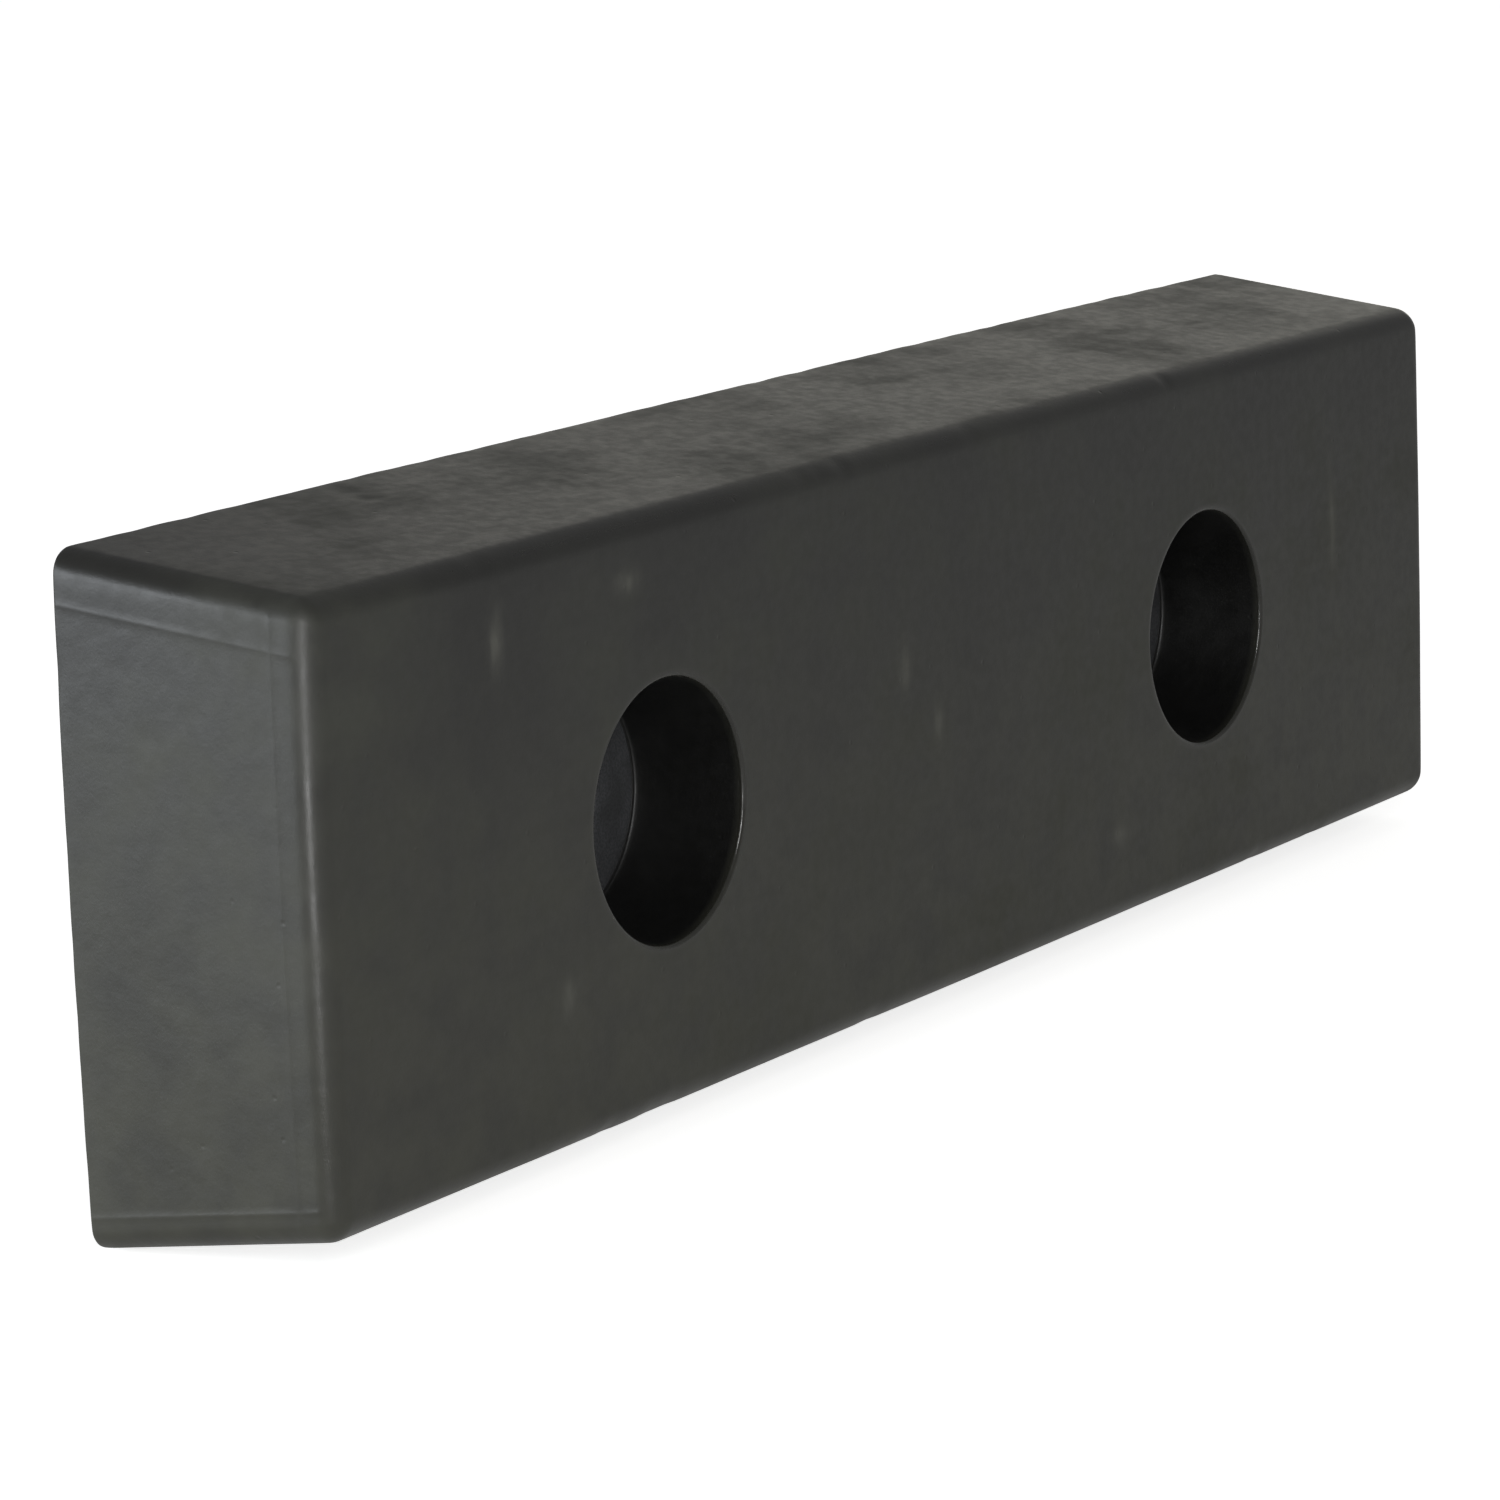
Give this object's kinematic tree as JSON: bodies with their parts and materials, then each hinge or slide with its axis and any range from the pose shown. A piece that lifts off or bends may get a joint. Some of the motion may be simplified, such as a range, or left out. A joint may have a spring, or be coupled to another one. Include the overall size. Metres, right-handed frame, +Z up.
{
  "type": "rubber dock bumper",
  "caption": "Tapered rectangular rubber bumper block with rounded front edges and deep counterbored bolt holes over moulded-in steel washers, for bolting flat to a wall.",
  "frame": {"origin": "middle of the flat mounting face, halfway between the bolt holes", "axes": "+X along the length of the block, +Y straight out of the mounting face into the wall, +Z up with the block on its long edge"},
  "size_m": [0.384, 0.0475, 0.113],
  "materials": {
    "moulded_rubber": "matt black, compression moulded, faint grey bloom and scuffs",
    "washer_steel": "dark grey phosphate, as left by rubber bonding"
  },
  "bodies": {
    "root": {"rubber_block": "moulded_rubber", "left_washer": "washer_steel", "right_washer": "washer_steel"}
  },
  "joints": []
}
